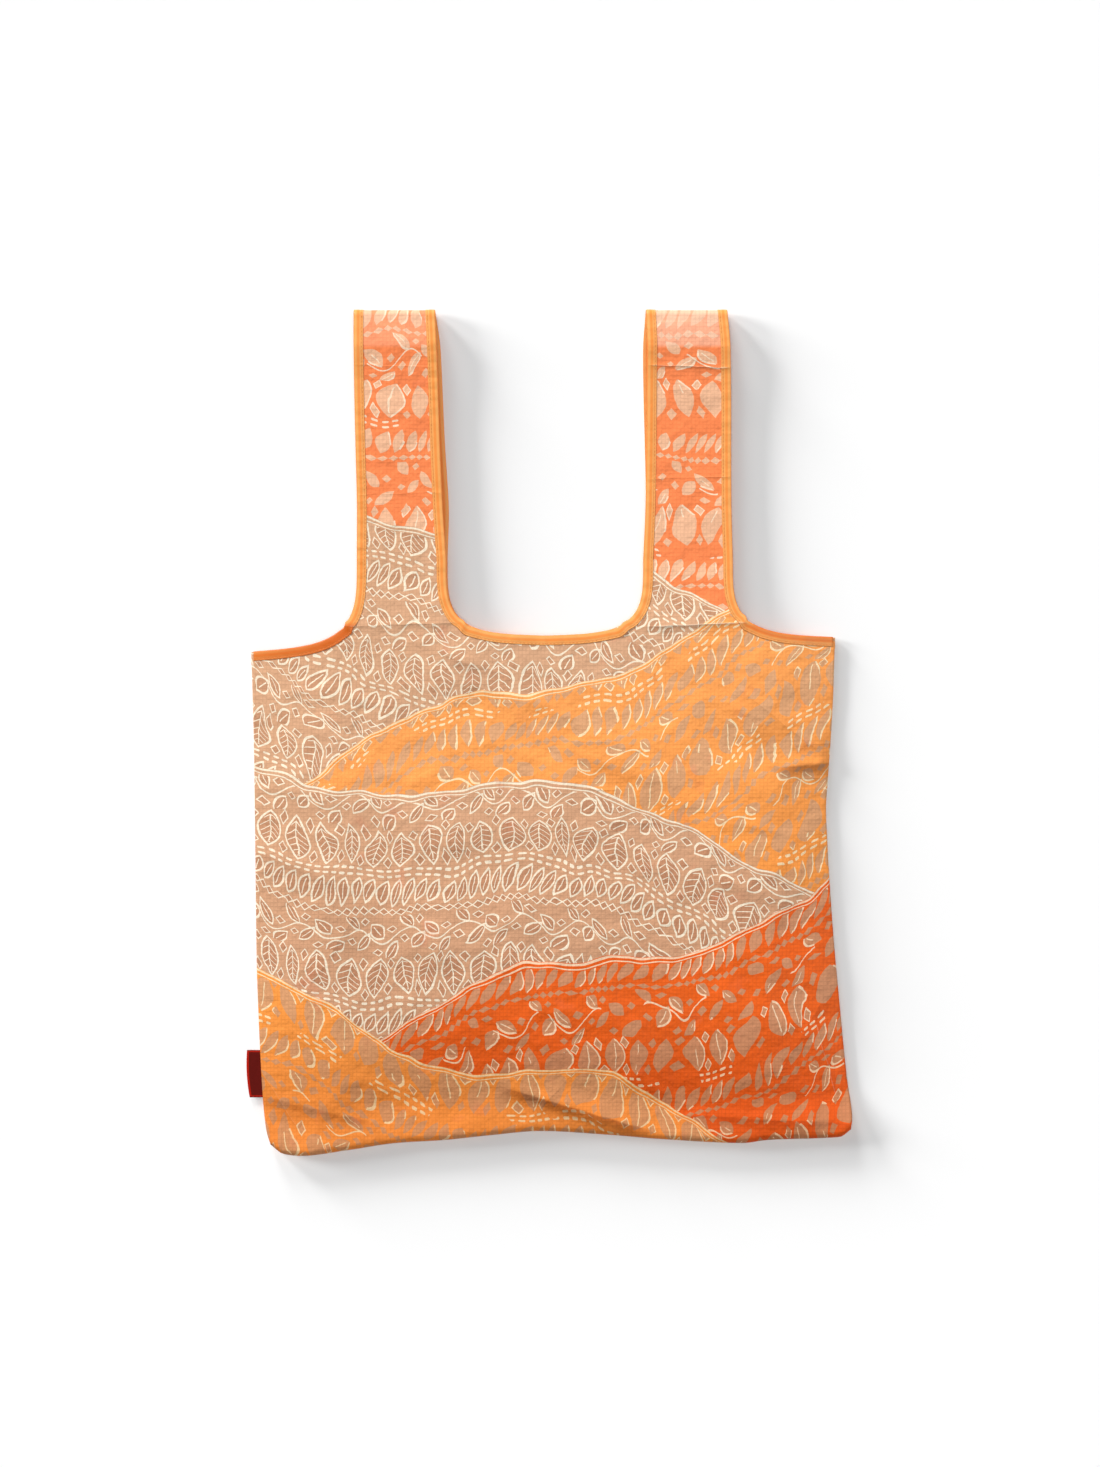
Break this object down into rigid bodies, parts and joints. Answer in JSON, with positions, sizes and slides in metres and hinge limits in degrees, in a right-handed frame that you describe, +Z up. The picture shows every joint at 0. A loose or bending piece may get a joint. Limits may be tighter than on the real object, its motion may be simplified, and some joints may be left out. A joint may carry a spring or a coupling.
{
  "type": "reusable shopping bag",
  "caption": "Flat folding shopper of thin ripstop cloth with two wide strap handles, bound edges and a small side label.",
  "frame": {"origin": "middle of the footprint on the surface that the bag lies on", "axes": "+Z up from the surface, +Y from the bottom seam towards the handles, +X to the bag's right seen from above"},
  "size_m": [0.4998, 0.6976, 0.0201],
  "materials": {
    "ripstop_front": "printed ripstop polyester, slight sheen",
    "ripstop_back": "printed ripstop polyester, slight sheen",
    "binding_tape": "satin bias tape with a line of stitches",
    "label_weave": "woven tape, matt"
  },
  "bodies": {
    "root": {"front_panel": "ripstop_front", "back_panel": "ripstop_back", "mouth_binding": "binding_tape", "shoulder_binding_left": "binding_tape", "shoulder_binding_right": "binding_tape", "side_label": "label_weave"}
  },
  "joints": []
}
